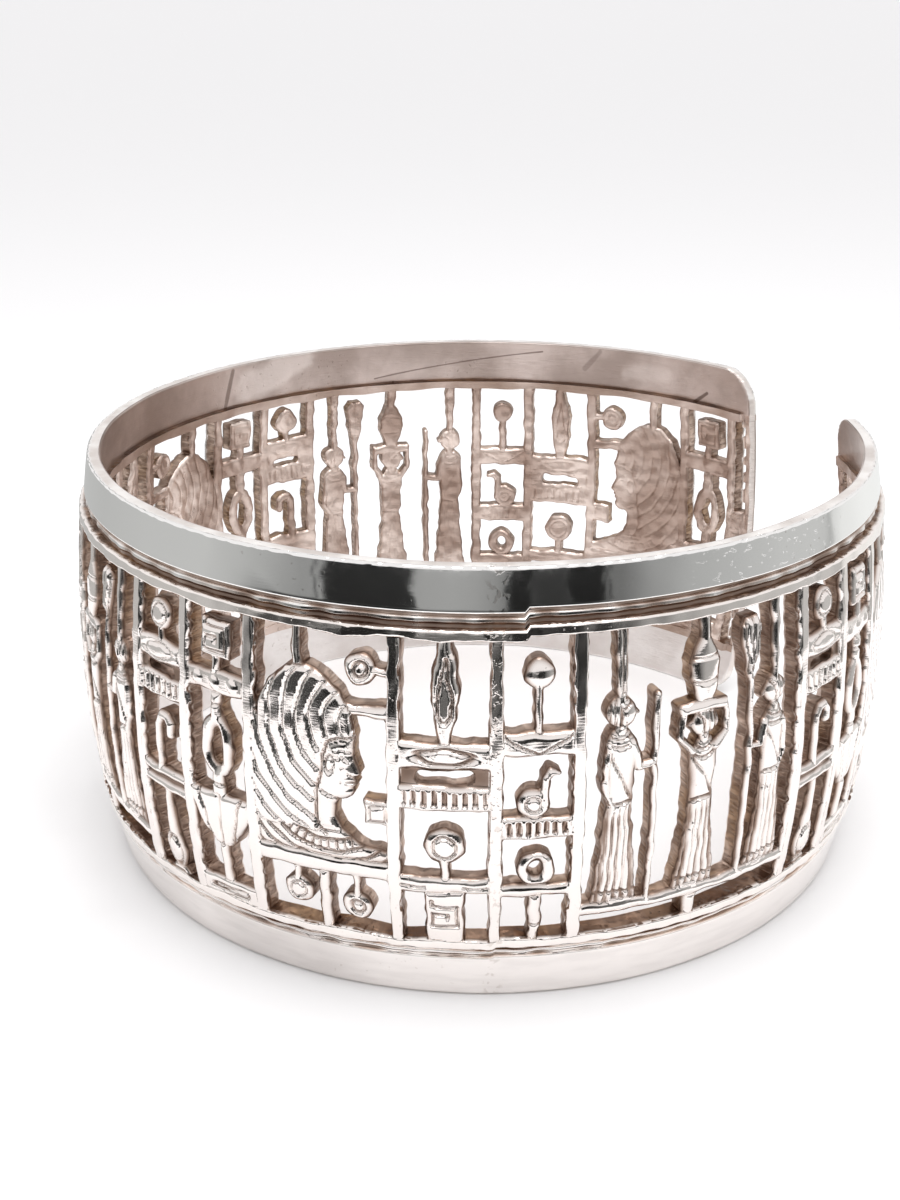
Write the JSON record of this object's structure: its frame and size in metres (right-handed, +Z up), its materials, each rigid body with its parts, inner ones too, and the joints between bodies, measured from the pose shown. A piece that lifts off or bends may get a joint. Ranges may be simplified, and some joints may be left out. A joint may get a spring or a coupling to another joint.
{
  "type": "silver cuff bracelet",
  "caption": "Open silver cuff bracelet: a domed band with plain polished borders and a pierced, raised frieze of signs, heads and robed figures.",
  "frame": {"origin": "on the wrist's axis, in the plane of the lower rim that the cuff rests on", "axes": "+Z up along the wrist's axis, from the lower rim to the upper rim; +Y towards the middle of the gap between the two ends; +X to the right"},
  "size_m": [0.0634, 0.0625, 0.0314],
  "materials": {
    "silver": "polished, with tarnish in the recesses and a satin inside"
  },
  "bodies": {
    "root": {"cuff": "silver"}
  },
  "joints": []
}
